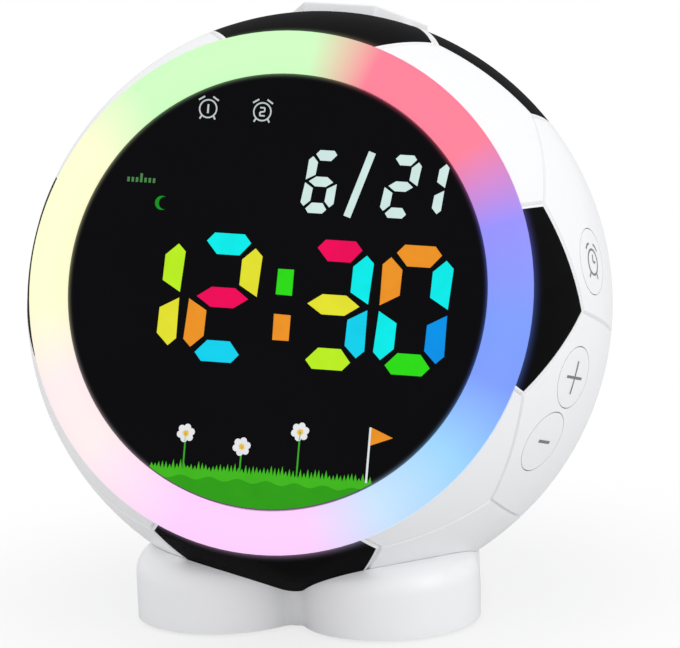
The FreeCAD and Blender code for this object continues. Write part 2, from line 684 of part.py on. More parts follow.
bay_tube = Part.makeCylinder(door_radius + inlet_wall, ball_radius, bay_axis * bay_floor, bay_axis)
bay_bore = Part.makeCylinder(cell_radius + door_gap, ball_radius, bay_axis * cell_floor, bay_axis)
door_bore = Part.makeCylinder(door_radius + door_gap, ball_radius, bay_axis * door_floor, bay_axis)
cover_bosses = []
cover_pilots = []
for spot in cover_spots:
    cover_bosses.append(Part.makeCylinder(cover_boss_radius, ball_radius, spot + REAR * parting_depth, REAR))
    cover_pilots.append(Part.makeCylinder(screw_radius + screw_gap, ball_radius, spot + REAR * parting_depth, REAR))
    cover_pilots.append(Part.makeCylinder(screw_head_radius + door_gap, ball_radius, spot + REAR * cover_head_y, REAR))
additions = [part.common(inside) for part in [seat_tube, inlet_box, bay_tube] + cover_bosses]
rear_bossed = fuse("rear_bossed", rear_wall, *[feature("rear_addition_%d" % i, s) for i, s in enumerate(additions)])
grille = []
for ring in range(3):
    count = max(1, 6 * ring)
    for index in range(count):
        a = 2 * math.pi * index / count
        spot = speaker_centre + V(ring * grille_pitch * math.cos(a), 0, ring * grille_pitch * math.sin(a))
        grille.append(Part.makeCylinder(grille_hole_radius, ball_radius, spot + REAR * speaker_seat_depth, REAR))
rear_cuts = [seat_bore.common(inside), inlet_pocket, socket_slot, bay_bore, door_bore] + cover_pilots + grille
rear_tool = fuse("rear_tools", rear_groove_tool, feature("rear_cuts", rear_cuts[0].multiFuse(
    rear_cuts[1:] + recess_shapes(rear_panels))))
node("rear_cover", cut("rear_cover_cut", rear_bossed, rear_tool), head)
cover_screws = [screw(spot + REAR * cover_head_y, FACE, cover_seat_depth + cover_screw_bite) for spot in cover_spots]
node("cover_screws", feature("cover_screw_shapes", Part.makeCompound(cover_screws)), head)


def speaker_profile():
    """Half section of the speaker: flange on the seat, basket and magnet towards the clock's middle."""
    back = speaker_seat_depth - speaker_depth
    shoulder = back + magnet_height
    rim = speaker_seat_depth - speaker_rim
    outer = speaker_radius + speaker_seat_wall - overlap
    points = [(0, back), (magnet_radius, back), (magnet_radius, shoulder), (basket_radius, shoulder),
              (speaker_radius - 2 * speaker_rim, rim), (outer, rim), (outer, speaker_seat_depth),
              (speaker_radius - cone_depth, speaker_seat_depth), (cone_radius, speaker_seat_depth - cone_depth),
              (0, speaker_seat_depth - dome_depth)]
    path = [V(x, y, -speaker_drop) for x, y in points]
    return Part.Face(Part.makePolygon(path + path[:1]))


speaker = doc.addObject("Part::Revolution", "speaker_turn")
speaker.Source = feature("speaker_section", speaker_profile())
speaker.Axis = V(0, 1, 0)
speaker.Base = speaker_centre
speaker.Angle = 360
speaker.Solid = True
node("speaker", speaker, head)

# Power socket on its small board
socket_back = inlet_floor - socket_length
socket_low = -inlet_drop - socket_height / 2
socket_shell = Part.makeBox(socket_width, socket_length, socket_height, V(-socket_width / 2, socket_back, socket_low))
socket_mouth = Part.makeBox(socket_width - 2 * socket_wall, socket_length - overcut, socket_height - 2 * socket_wall,
                            V(-socket_width / 2 + socket_wall, socket_back + overcut, socket_low + socket_wall))
tongue_width = 2 * socket_width / 3
tongue = Part.makeBox(tongue_width, socket_length - 2 * overcut, tongue_thickness,
                      V(-tongue_width / 2, socket_back + overlap, -inlet_drop - tongue_thickness / 2))
node("power_socket", feature("power_socket_shape", socket_shell.cut(socket_mouth).fuse(tongue)), head)
socket_board = Part.makeBox(inlet_width, socket_board_length, socket_board_thickness,
                            V(-inlet_width / 2, inlet_floor - inlet_wall - socket_board_length,
                              socket_low - socket_board_thickness))
node("socket_board", feature("socket_board_shape", socket_board), head)

# Backup cell under a round cover that a coin turns
cell = rod("cell", "Sizes.cell_radius", "Sizes.cell_thickness", bay_axis * (cell_floor + stem_gap), bay_axis)
node("backup_cell", cell, head)
door = Part.makeCylinder(door_radius, ball_radius, bay_axis * (door_floor + stem_gap), bay_axis)
door = door.common(Part.makeSphere(ball_radius - seat_gap))
slot_across = bay_axis.cross(V(0, 0, 1)).normalize()
coin_slot = Part.makeBox(coin_slot_length, coin_slot_width, ball_radius, V(-coin_slot_length / 2, -coin_slot_width / 2, 0))
coin_slot.Placement = FreeCAD.Placement(bay_axis * (ball_radius - coin_slot_depth),
                                        FreeCAD.Rotation(V(0, 0, 1), slot_across, bay_axis, "XYZ"))
node("battery_cover", feature("battery_cover_shape", door.cut(coin_slot)), head)

# Foot: two round lobes in front and a round heel, joined by tangent sides
def foot_plan():
    """The foot's outline: lobe, side, heel, side, lobe, meeting in a valley at the front."""
    centre = V(lobe_offset, -lobe_offset, 0)
    lean = math.acos((heel_radius - lobe_radius) / centre.Length) + math.atan2(centre.y, centre.x)
    normal = V(math.cos(lean), math.sin(lean), 0)
    valley = V(0, centre.y - math.sqrt(lobe_radius ** 2 - lobe_offset ** 2), 0)
    toe = centre + V(0, -lobe_radius, 0)
    lobe_end = centre + normal * lobe_radius
    heel_start = normal * heel_radius

    def left(point):
        return V(-point.x, point.y, 0)

    edges = [Part.Arc(valley, toe, lobe_end), Part.LineSegment(lobe_end, heel_start),
             Part.Arc(heel_start, V(0, heel_radius, 0), left(heel_start)),
             Part.LineSegment(left(heel_start), left(lobe_end)), Part.Arc(left(lobe_end), left(toe), valley)]
    return Part.Face(Part.Wire([edge.toShape() for edge in edges]))


plan = feature("foot_plan", foot_plan())
plan.Placement = FreeCAD.Placement(V(0, 0, pad_proud), FreeCAD.Rotation())
foot_block = doc.addObject("Part::Extrusion", "foot_block")
foot_block.Base = plan
foot_block.DirMode = "Custom"
foot_block.Dir = V(0, 0, 1)
foot_block.Solid = True
bind(foot_block, LengthFwd="Sizes.foot_height - Sizes.pad_proud")
doc.recompute()


def fillet(name, base, radius, wanted):
    """Round the edges of base that wanted picks."""
    obj = doc.addObject("Part::Fillet", name)
    obj.Base = base
    obj.Edges = [(i + 1, radius, radius) for i, edge in enumerate(base.Shape.Edges) if wanted(edge)]
    doc.recompute()
    return obj


def in_valley(edge):
    box = edge.BoundBox
    return box.ZLength > 1 and abs(box.XMin) < 0.01 and box.XLength < 0.01 and box.YMin < 0


foot_soft = fillet("foot_valley_fillet", foot_block, foot_valley_round, in_valley)
foot_round_body = fillet("foot_top_fillet", foot_soft, foot_round,
                         lambda edge: abs(edge.BoundBox.ZMin - foot_height) < 0.01)
ball_seat = bind(doc.addObject("Part::Sphere", "ball_seat"), Radius="Sizes.ball_radius + Sizes.seat_gap")
ball_seat.Placement = FreeCAD.Placement(V(0, 0, centre_height), FreeCAD.Rotation())
screw_seat_height = pad_thickness + screw_seat


def sole(inset, top):
    """A disc under the heel and one under each lobe, in one piece, from the resting surface up to top."""
    discs = [Part.makeCylinder(heel_radius - inset, top)]
    for side in (1, -1):
        discs.append(Part.makeCylinder(lobe_radius - inset, top, V(side * lobe_offset, -lobe_offset, 0)))
    return discs[0].multiFuse(discs[1:]).removeSplitter()


foot_cutters = [sole(pad_inset - stem_gap, pad_thickness)]
for spot in foot_screw_spots:
    foot_cutters.append(Part.makeCylinder(screw_radius + screw_gap, foot_height, spot, V(0, 0, 1)))
    foot_cutters.append(Part.makeCylinder(screw_head_radius + door_gap, screw_seat_height, spot, V(0, 0, 1)))
foot_tool = fuse("foot_tools", ball_seat, feature("foot_cutters", foot_cutters[0].multiFuse(foot_cutters[1:])))
node("foot_base", cut("foot_base_cut", foot_round_body, foot_tool))
foot_screws = [screw(spot + V(0, 0, screw_seat_height), V(0, 0, 1), foot_screw_length) for spot in foot_screw_spots]
node("foot_screws", feature("foot_screw_shapes", Part.makeCompound(foot_screws)))
node("foot_pad", feature("foot_pad_shape", sole(pad_inset, pad_thickness)))

doc.recompute()
for obj in doc.Objects:
    if "Invalid" in obj.State or "Error" in obj.State:
        raise RuntimeError("%s: %s" % (obj.Label, obj.State))
for label, obj in nodes.items():
    if obj.Shape.isNull() or not obj.Shape.isValid():
        raise RuntimeError("bad shape: " + label)
os.makedirs("parts", exist_ok=True)
for label, obj in nodes.items():
    obj.Shape.exportStep("parts/%s.step" % label)
    box = obj.Shape.BoundBox
    print("%-18s solids %d volume %8.1f x %.1f..%.1f y %.1f..%.1f z %.1f..%.1f" % (
        label, len(obj.Shape.Solids), obj.Shape.Volume, box.XMin, box.XMax, box.YMin, box.YMax, box.ZMin, box.ZMax))
for label, axis in (("right", right_axis), ("left", left_axis), ("snooze", snooze_axis)):
    print(label, "axis", [round(c, 5) for c in head.Rotation.multVec(axis)])
print("battery axis", [round(c, 5) for c in head.Rotation.multVec(bay_axis)], "at",
      [round(c, 3) for c in head.multVec(bay_axis * door_floor)])
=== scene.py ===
import math
import random

import bpy
from mathutils import Matrix, Vector


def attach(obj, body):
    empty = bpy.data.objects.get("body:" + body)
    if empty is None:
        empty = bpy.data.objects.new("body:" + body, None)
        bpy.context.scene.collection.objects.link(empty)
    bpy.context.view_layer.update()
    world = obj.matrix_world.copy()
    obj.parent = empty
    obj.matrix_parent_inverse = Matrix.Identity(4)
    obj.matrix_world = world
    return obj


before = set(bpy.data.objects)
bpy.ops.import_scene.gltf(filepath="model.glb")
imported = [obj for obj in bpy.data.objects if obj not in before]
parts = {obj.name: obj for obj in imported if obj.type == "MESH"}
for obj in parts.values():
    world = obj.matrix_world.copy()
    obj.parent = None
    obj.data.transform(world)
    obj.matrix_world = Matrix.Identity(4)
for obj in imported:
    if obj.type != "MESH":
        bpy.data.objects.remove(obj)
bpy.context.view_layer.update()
scene = bpy.context.scene
scene.view_settings.view_transform = "Standard"


# The ball's own frame: its centre, leaned back on the foot and turned a little about the face's axis.
# In it the clock's face looks along -Y, and distances are in millimetres.
MM = 0.001
CENTRE_HEIGHT = 64.6 * MM
FACE_TILT = math.radians(17.0)
BALL_TURN = math.radians(2.6)
BALL_RADIUS = 63.0
HEAD = Matrix.Translation((0, 0, CENTRE_HEIGHT))
HEAD = HEAD @ Matrix.Rotation(-FACE_TILT, 4, "X") @ Matrix.Rotation(BALL_TURN, 4, "Y")


def on_ball(x, y, z):
    """A point of the ball's frame, in millimetres, as a point of the row's frame in metres."""
    return HEAD @ (Vector((x, y, z)) * MM)


# Camera: it sees the clock from the right of the face and a little above,
# through a long lens, and is rolled slightly.
VIEW_AZIMUTH = math.radians(16.953)
VIEW_HEIGHT = math.radians(12.366)
VIEW_ROLL = math.radians(-2.583)
VIEW_DISTANCE = 1.2189
LENS_LENGTH = 299.7
FILM_WIDTH = 36.0
FRAME_SHIFT = (0.0296, -0.0301)
back = Vector((math.sin(VIEW_AZIMUTH) * math.cos(VIEW_HEIGHT),
               -math.cos(VIEW_AZIMUTH) * math.cos(VIEW_HEIGHT), math.sin(VIEW_HEIGHT)))
level = Vector((math.cos(VIEW_AZIMUTH), math.sin(VIEW_AZIMUTH), 0))
upright = back.cross(level)
right = level * math.cos(VIEW_ROLL) + upright * math.sin(VIEW_ROLL)
up = upright * math.cos(VIEW_ROLL) - level * math.sin(VIEW_ROLL)
camera = bpy.data.objects.new("camera", bpy.data.cameras.new("camera"))
scene.collection.objects.link(camera)
camera.data.sensor_width = FILM_WIDTH
camera.data.lens = LENS_LENGTH
camera.data.shift_x, camera.data.shift_y = FRAME_SHIFT
camera.data.clip_end = 20.0
eye = Vector((0, 0, CENTRE_HEIGHT)) + back * VIEW_DISTANCE
camera.matrix_world = Matrix.Translation(eye) @ Matrix((right, up, back)).transposed().to_4x4()
scene.camera = camera


# Place on the clock: how far a point is from the face's axis, and how far behind the ball's centre,
# in millimetres, and its bearing round that axis, from 0 at the bottom through 0.5 at the top to 1.
# The ring's own glow, and the glow painted on the black panels and the lens rim beside it, are worked out
# from it.
def add(tree, kind, inputs=(), **settings):
    """A shader node with its settings, whose inputs are given a value or linked to a socket."""
    node = tree.nodes.new(kind)
    for key, value in settings.items():
        setattr(node, key, value)
    for key, value in dict(inputs).items():
        if isinstance(value, bpy.types.NodeSocket):
            tree.links.new(value, node.inputs[key])
        else:
            node.inputs[key].default_value = value
    return node


def maths(tree, operation, *values):
    """A number worked out from others, each of them a socket or a plain number."""
    return add(tree, "ShaderNodeMath", dict(enumerate(values)), operation=operation).outputs[0]


def new_group(name, inputs, outputs):
    """A node group with its sockets; it is built once and used by each material that needs its effect."""
    group = bpy.data.node_groups.new(name, "ShaderNodeTree")
    for label, kind, value in inputs:
        group.interface.new_socket(label, in_out="INPUT", socket_type=kind).default_value = value
    for label, kind in outputs:
        group.interface.new_socket(label, in_out="OUTPUT", socket_type=kind)
    return group, add(group, "NodeGroupInput"), add(group, "NodeGroupOutput")


def use(tree, group, **inputs):
    """A group's node in a material, with its inputs set."""
    return add(tree, "ShaderNodeGroup", inputs, node_tree=group)


place_group, _, place_out = new_group(
    "face_place", [],
    [("Radius", "NodeSocketFloat"), ("Depth", "NodeSocketFloat"), ("Bearing", "NodeSocketFloat")])
coordinate = add(place_group, "ShaderNodeTexCoord")
shifted = add(place_group, "ShaderNodeVectorMath",
              {0: coordinate.outputs["Object"], 1: (0, 0, CENTRE_HEIGHT)}, operation="SUBTRACT")
leaned = add(place_group, "ShaderNodeVectorRotate", {"Vector": shifted.outputs[0], "Angle": FACE_TILT},
             rotation_type="X_AXIS")
turned = add(place_group, "ShaderNodeVectorRotate", {"Vector": leaned.outputs[0], "Angle": -BALL_TURN},
             rotation_type="Y_AXIS")
axes = add(place_group, "ShaderNodeSeparateXYZ", {0: turned.outputs[0]})
flat = add(place_group, "ShaderNodeCombineXYZ", {"X": axes.outputs["X"], "Z": axes.outputs["Z"]})
length = add(place_group, "ShaderNodeVectorMath", {0: flat.outputs[0]}, operation="LENGTH")
radius_mm = maths(place_group, "MULTIPLY", length.outputs["Value"], 1 / MM)
depth_mm = maths(place_group, "MULTIPLY", axes.outputs["Y"], 1 / MM)
bearing = maths(place_group, "ARCTAN2", axes.outputs["X"], axes.outputs["Z"])
bearing_share = maths(place_group, "MULTIPLY_ADD", bearing, 1 / (2 * math.pi), 0.5)
place_group.links.new(radius_mm, place_out.inputs["Radius"])
place_group.links.new(depth_mm, place_out.inputs["Depth"])
place_group.links.new(bearing_share, place_out.inputs["Bearing"])


# The light ring's colours: soft bands round the face, from the bottom over the left to the top
# and down the right side. The same colours are painted as glow on the display lens's rim and on the black
# panels beside the ring.
PINK = (255, 206, 255)
BLUSH = (255, 236, 238)
CREAM = (255, 254, 208)
MINT = (204, 254, 191)
ROSE = (253, 118, 146)
VIOLET = (143, 136, 254)
BLUE = (113, 150, 254)
POWDER = (150, 212, 254)
ICE = (200, 227, 254)
RING_BANDS = [(0.0, PINK), (0.05, PINK), (0.13, BLUSH), (0.18, BLUSH), (0.23, CREAM), (0.34, CREAM),
              (0.39, MINT), (0.51, MINT), (0.555, ROSE), (0.64, ROSE), (0.695, VIOLET), (0.76, BLUE),
              (0.8, BLUE), (0.855, POWDER), (0.915, ICE), (0.965, PINK), (1.0, PINK)]


def linear(red, green, blue):
    """An 8-bit display colour as a linear colour."""
    def channel(value):
        value = value / 255
        return value / 12.92 if value <= 0.04045 else ((value + 0.055) / 1.055) ** 2.4
    return (channel(red), channel(green), channel(blue), 1.0)


colour_group, _, colour_out = new_group("ring_colours", [], [("Color", "NodeSocketColor")])
ring_place = use(colour_group, place_group)
bands = add(colour_group, "ShaderNodeValToRGB", {"Fac": ring_place.outputs["Bearing"]})
bands.color_ramp.interpolation = "LINEAR"
while len(bands.color_ramp.elements) < len(RING_BANDS):
    bands.color_ramp.elements.new(0.5)
for element, (position, colour) in zip(bands.color_ramp.elements, RING_BANDS):
    element.position = position
for element, (position, colour) in zip(bands.color_ramp.elements, RING_BANDS):
    element.color = linear(*colour)
colour_group.links.new(bands.outputs["Color"], colour_out.inputs["Color"])


# Shell, rear cover, cell cover and foot: white moulded plastic with a soft gloss.
# The mould leaves a very fine grain, and the gloss and shade drift slowly over each piece.
GRAIN_SCALE = 5200.0
GRAIN_HEIGHT = 0.00002
DRIFT_SCALE = 38.0
grain_group, grain_in, grain_out = new_group(
    "moulded_grain",
    [("Grain", "NodeSocketFloat", 0.03), ("Gloss", "NodeSocketFloat", 0.3),
     ("Drift", "NodeSocketFloat", 0.06)],
    [("Roughness", "NodeSocketFloat"), ("Normal", "NodeSocketVector"), ("Shade", "NodeSocketFloat")])
grain_place = add(grain_group, "ShaderNodeTexCoord").outputs["Object"]
fine = add(grain_group, "ShaderNodeTexNoise", {"Vector": grain_place, "Scale": GRAIN_SCALE, "Detail": 2.0})
slow = add(grain_group, "ShaderNodeTexNoise", {"Vector": grain_place, "Scale": DRIFT_SCALE, "Detail": 3.0})
centred = maths(grain_group, "SUBTRACT", slow.outputs["Fac"], 0.5)
rough = maths(grain_group, "MULTIPLY_ADD", centred, grain_in.outputs["Drift"], grain_in.outputs["Gloss"])
bump = add(grain_group, "ShaderNodeBump", {"Strength": grain_in.outputs["Grain"], "Distance": GRAIN_HEIGHT,
                                           "Height": fine.outputs["Fac"]})
grain_group.links.new(rough, grain_out.inputs["Roughness"])
grain_group.links.new(bump.outputs["Normal"], grain_out.inputs["Normal"])
grain_group.links.new(slow.outputs["Fac"], grain_out.inputs["Shade"])


def moulded(name, base, gloss, grain=0.03, drift=0.06, spread=0.03, metallic=0.0):
    """A plastic, metal or rubber whose colour and gloss drift a little over its surface."""
    material = bpy.data.materials.new(name)
    material.use_nodes = True
    tree = material.node_tree
    shader = tree.nodes["Principled BSDF"]
    surface = use(tree, grain_group, Grain=grain, Gloss=gloss, Drift=drift)
    low = tuple(c * (1 - spread) for c in base)
    tint = add(tree, "ShaderNodeMix", {"Factor": surface.outputs["Shade"]}, data_type="RGBA")
    tint.inputs[6].default_value = (*low, 1)
    tint.inputs[7].default_value = (*base, 1)
    tree.links.new(tint.outputs[2], shader.inputs["Base Color"])
    tree.links.new(surface.outputs["Roughness"], shader.inputs["Roughness"])
    tree.links.new(surface.outputs["Normal"], shader.inputs["Normal"])
    shader.inputs["Metallic"].default_value = metallic
    return material


def finish(material, **levels):
    """Set gloss levels on a material's own sockets: specular, coat and coat_roughness."""
    sockets = {"specular": "Specular IOR Level", "coat": "Coat Weight", "coat_roughness": "Coat Roughness"}
    for key, value in levels.items():
        material.node_tree.nodes["Principled BSDF"].inputs[sockets[key]].default_value = value


def glow(material, colour, strength):
    """Light that a material gives off: real for the ring and the display cells, painted for the black panels
    and the lens rim; its strength is a number or a socket.
    """
    shader = material.node_tree.nodes["Principled BSDF"]
    material.node_tree.links.new(colour, shader.inputs["Emission Color"])
    if isinstance(strength, bpy.types.NodeSocket):
        material.node_tree.links.new(strength, shader.inputs["Emission Strength"])
    else:
        shader.inputs["Emission Strength"].default_value = strength


def dress(material, *labels):
    """Give CAD pieces their material."""
    for label in labels:
        slots = parts[label].data.materials
        if len(slots) == 0:
            slots.append(material)
        for index in range(len(slots)):
            slots[index] = material


white = moulded("white_plastic", (0.88, 0.885, 0.9), 0.3, grain=0.01, spread=0.02)
finish(white, coat=0.25, coat_roughness=0.12)
dress(white, "front_shell", "rear_cover", "battery_cover", "foot_base")


# Push caps: the same white plastic with a slightly stronger grain, because fingers touch them.
# Three sit on each side of the ball, and the six-sided one on its crown.
cap_white = moulded("cap_plastic", (0.87, 0.875, 0.89), 0.34, grain=0.05, spread=0.02)
finish(cap_white, coat=0.15)
dress(cap_white, "alarm_key", "plus_key", "minus_key", "mode_key", "light_key", "sound_key", "snooze_button")


# Black panels: gloss black inlays set into the shell. On those beside the light ring, the ring's light is
# painted on as glow in its colours along their nearest edge, within about three millimetres behind it.
PAINTED_GLOW_FROM = -30.2
PAINTED_GLOW_TO = -27.0
PAINTED_GLOW_LEVEL = 0.55
PAINTED_GLOW_FALL = 3.0
panel_black = moulded("black_panel", (0.004, 0.004, 0.0045), 0.12, grain=0.015, spread=0.3)
panel_tree = panel_black.node_tree
panel_place = use(panel_tree, place_group)
# painted glow: how strongly a panel gives off the ring's colours, fading behind the ring, in place of the
# ring's light on it
painted_glow_nearness = add(panel_tree, "ShaderNodeMapRange", {"Value": panel_place.outputs["Depth"],
                                                  "From Min": PAINTED_GLOW_FROM, "From Max": PAINTED_GLOW_TO,
                                                  "To Min": PAINTED_GLOW_LEVEL, "To Max": 0.0})
painted_glow_hue = use(panel_tree, colour_group)
glow(panel_black, painted_glow_hue.outputs["Color"], maths(panel_tree, "POWER", painted_glow_nearness.outputs[0], PAINTED_GLOW_FALL))
finish(panel_black, specular=0.0, coat=0.05, coat_roughness=0.1)
dress(panel_black, "right_patch", "left_patch", "upper_right_patch", "upper_left_patch", "top_patch",
      "bottom_patch", "rear_patch")


# Light ring: a milky channel lit from behind by a ring of small lights,
# a little brighter along its crest than at its two edges.
RING_MIDDLE = 50.7
RING_HALF_WIDTH = 4.6
CREST_LIGHT = 0.97
EDGE_LOSS = -0.04
diffuser = moulded("ring_diffuser", (0.03, 0.03, 0.03), 0.35, grain=0.02)
ring_tree = diffuser.node_tree
ring_spot = use(ring_tree, place_group)
from_middle = maths(ring_tree, "SUBTRACT", ring_spot.outputs["Radius"], RING_MIDDLE)
share = maths(ring_tree, "DIVIDE", from_middle, RING_HALF_WIDTH)
squared = maths(ring_tree, "MULTIPLY", share, share)
ring_hue = use(ring_tree, colour_group)
glow(diffuser, ring_hue.outputs["Color"], maths(ring_tree, "MULTIPLY_ADD", squared, EDGE_LOSS, CREST_LIGHT))
dress(diffuser, "light_ring")


# Display lens: a smoked gloss disc, glued in front of the display's light cells.
# Along its rim the ring's light is painted on as glow in the ring's colours.
LENS_EDGE = 46.0
PAINTED_RIM_WIDTH = 1.4
PAINTED_RIM_FALL = 3.5
PAINTED_RIM_LIGHT = 0.2
lens = moulded("smoked_lens", (0.003, 0.003, 0.004), 0.16, grain=0.004, spread=0.3)
lens_tree = lens.node_tree
lens_spot = use(lens_tree, place_group)
# painted glow: the lens's rim gives off the ring's colours, in place of the ring's light caught at its edge
painted_rim_mask = add(lens_tree, "ShaderNodeMapRange", {"Value": lens_spot.outputs["Radius"],
                                            "From Min": LENS_EDGE - PAINTED_RIM_WIDTH, "From Max": LENS_EDGE,
                                            "To Min": 0.0, "To Max": 1.0})
painted_rim_glow = maths(lens_tree, "POWER", painted_rim_mask.outputs[0], PAINTED_RIM_FALL)
painted_rim_hue = use(lens_tree, colour_group)
glow(lens, painted_rim_hue.outputs["Color"], maths(lens_tree, "MULTIPLY", painted_rim_glow, PAINTED_RIM_LIGHT))
finish(lens, specular=0.03)
dress(lens, "display_lens")


# Pieces inside the ball, and small hardware: circuit boards, the light-cell block, chip, switches, speaker,
# lights, plated screws, socket and cell, brass spacers, and the soft sole under the foot.
dress(moulded("board_green", (0.02, 0.16, 0.06), 0.4, grain=0.1, spread=0.25), "display_board",
      "ring_led_board", "main_board", "right_board", "left_board", "snooze_board", "socket_board")
dress(moulded("segment_black", (0.03, 0.03, 0.033), 0.6, grain=0.1, spread=0.2), "segment_housing")
dress(moulded("chip_epoxy", (0.02, 0.02, 0.02), 0.5, grain=0.2, spread=0.2), "controller_chip")
dress(moulded("switch_black", (0.04, 0.04, 0.04), 0.45, spread=0.2), "right_switches", "left_switches",
      "snooze_switches")
dress(moulded("speaker_black", (0.045, 0.045, 0.045), 0.5, grain=0.15, spread=0.2), "speaker")
dress(moulded("light_source", (0.85, 0.82, 0.65), 0.2), "ring_leds")
dress(moulded("plated_steel", (0.62, 0.62, 0.64), 0.3, drift=0.15, metallic=1.0), "cover_screws",
      "foot_screws", "display_screws", "main_board_screws", "right_board_screws", "left_board_screws",
      "snooze_board_screws", "power_socket", "backup_cell")
dress(moulded("brass", (0.72, 0.52, 0.2), 0.3, drift=0.15, metallic=1.0), "board_spacers")
dress(moulded("pad_rubber", (0.3, 0.3, 0.31), 0.75, grain=0.3, spread=0.1), "foot_pad")


# Time digits: six-sided light cells in many colours, shining through the lens, with the colon between them.
# They are drawn flat in millimetres, a digit about its own middle, and set on the lens's front.
LENS_FRONT = 33.03
SEGMENT_TOP = [(2.6, 9.1), (4.9, 11.8), (3.3, 13.6), (-3.3, 13.6), (-4.9, 11.8), (-2.4, 9.1)]
SEGMENT_SIDE = [(3.3, 2.9), (7.4, 0.6), (7.7, 9.2), (6.0, 10.8), (3.3, 8.3)]
SEGMENT_MIDDLE = [(2.5, 2.15), (-2.7, 2.15), (-5.8, 0.0), (-2.5, -2.1), (2.5, -2.1), (5.6, 0.0)]
DIGIT_MIDDLE = -2.05
DIGIT_SLANT = 0.028
LIME = (187, 240, 34)
YELLOW = (229, 227, 48)
CYAN = (7, 238, 236)
MAGENTA = (240, 5, 90)
ORANGE = (238, 148, 38)
SKY = (16, 211, 240)
DEEP_BLUE = (4, 147, 235)
GREEN = (45, 221, 21)


def circle(x, y, radius, sides=20, start=0.0, end=2 * math.pi):
    """Points along a circle or an arc."""
    return [(x + radius * math.cos(start + (end - start) * i / sides),
             y + radius * math.sin(start + (end - start) * i / sides)) for i in range(sides)]


class Drawing:
    """Faces drawn flat, each with a colour, and turned into one piece on a surface."""

    def __init__(self):
        self.points = []
        self.faces = []
        self.colours = []

    def polygon(self, outline, colour):
        """One filled outline."""
        start = len(self.points)
        self.points += outline
        self.faces.append(tuple(range(start, start + len(outline))))
        self.colours.append(colour)

    def line(self, path, width, colour, closed=False):
        """A stroke of even width along a path."""
        ends = path + path[:1] if closed else path
        for (ax, ay), (bx, by) in zip(ends, ends[1:]):
            run = math.dist((ax, ay), (bx, by))
            sx, sy = -(by - ay) / run * width / 2, (bx - ax) / run * width / 2
            corners = [(ax + sx, ay + sy), (ax - sx, ay - sy), (bx - sx, by - sy), (bx + sx, by + sy)]
            self.polygon(corners, colour)

    def disc(self, x, y, radius, colour, sides=20):
        """A filled circle."""
        self.polygon(circle(x, y, radius, sides), colour)

    def piece(self, name, surface, material, body, slot):
        """The drawing as a mesh whose points lie where surface(x, y) puts them."""
        mesh = bpy.data.meshes.new(name)
        mesh.from_pydata([surface(x, y) for x, y in self.points], [], self.faces)
        tint = mesh.attributes.new("tint", "FLOAT_COLOR", "FACE")
        for index, colour in enumerate(self.colours):
            tint.data[index].color = linear(*colour)
        mesh.materials.append(material)
        piece = bpy.data.objects.new(name, mesh)
        scene.collection.objects.link(piece)
        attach(piece, body)


def tinted(name, gloss):
    """A material with black ground that takes its colour from its faces, with a faint unevenness."""
    material = moulded(name, (0.002, 0.002, 0.002), gloss)
    tree = material.node_tree
    tint = add(tree, "ShaderNodeAttribute", attribute_name="tint")
    spot = add(tree, "ShaderNodeTexCoord").outputs["Object"]
    cells = add(tree, "ShaderNodeTexNoise", {"Vector": spot, "Scale": 260.0, "Detail": 1.0})
    level = add(tree, "ShaderNodeMapRange", {"Value": cells.outputs["Fac"], "To Min": 0.9, "To Max": 1.05})
    shade = add(tree, "ShaderNodeVectorMath", {0: tint.outputs["Color"], "Scale": level.outputs[0]},
                operation="SCALE")
    return material, shade.outputs[0]


def on_lens(x, z):
    """A flat point on the lens's front."""
    return on_ball(x, -LENS_FRONT, z)


def segment(label):
    """One of a digit's seven segments, named by its place."""
    if label == "middle":
        return SEGMENT_MIDDLE
    shape = SEGMENT_TOP if label in ("top", "bottom") else SEGMENT_SIDE
    flip_x = -1 if "left" in label else 1
    flip_z = -1 if label in ("bottom", "lower_left", "lower_right") else 1
    return [(x * flip_x, z * flip_z) for x, z in shape]


def draw_digit(drawing, x, z, segments, scale=(1, 1), slant=DIGIT_SLANT):
    """A digit about (x, z), given as the colours of its lit segments."""
    for label, colour in segments.items():
        shape = [(x + px * scale[0] + pz * slant, z + pz * scale[1]) for px, pz in segment(label)]
        drawing.polygon(shape, colour)


lit, lit_colour = tinted("lit_segments", 0.3)
glow(lit, lit_colour, 1.0)
finish(lit, specular=0.03)
time = Drawing()
ONE = {"upper_right": LIME, "lower_right": YELLOW}
TWO = {"top": CYAN, "upper_right": YELLOW, "middle": MAGENTA, "lower_left": ORANGE, "bottom": SKY}
THREE = {"top": MAGENTA, "upper_right": CYAN, "middle": YELLOW, "lower_right": SKY, "bottom": LIME}
ZERO = {"top": ORANGE, "upper_left": ORANGE, "upper_right": CYAN, "lower_left": CYAN,
        "lower_right": DEEP_BLUE, "bottom": GREEN}
for x, digit in ((-28.4, ONE), (-11.4, TWO), (13.0, THREE), (30.3, ZERO)):
    draw_digit(time, x, DIGIT_MIDDLE, digit)
time.polygon([(0.1, -0.6), (3.7, -0.7), (3.7, 4.8), (0.2, 4.8)], GREEN)
time.polygon([(0.2, -10.2), (3.8, -10.2), (3.8, -4.8), (0.1, -4.7)], ORANGE)
time.piece("time_digits", on_lens, lit, "clock", "led")


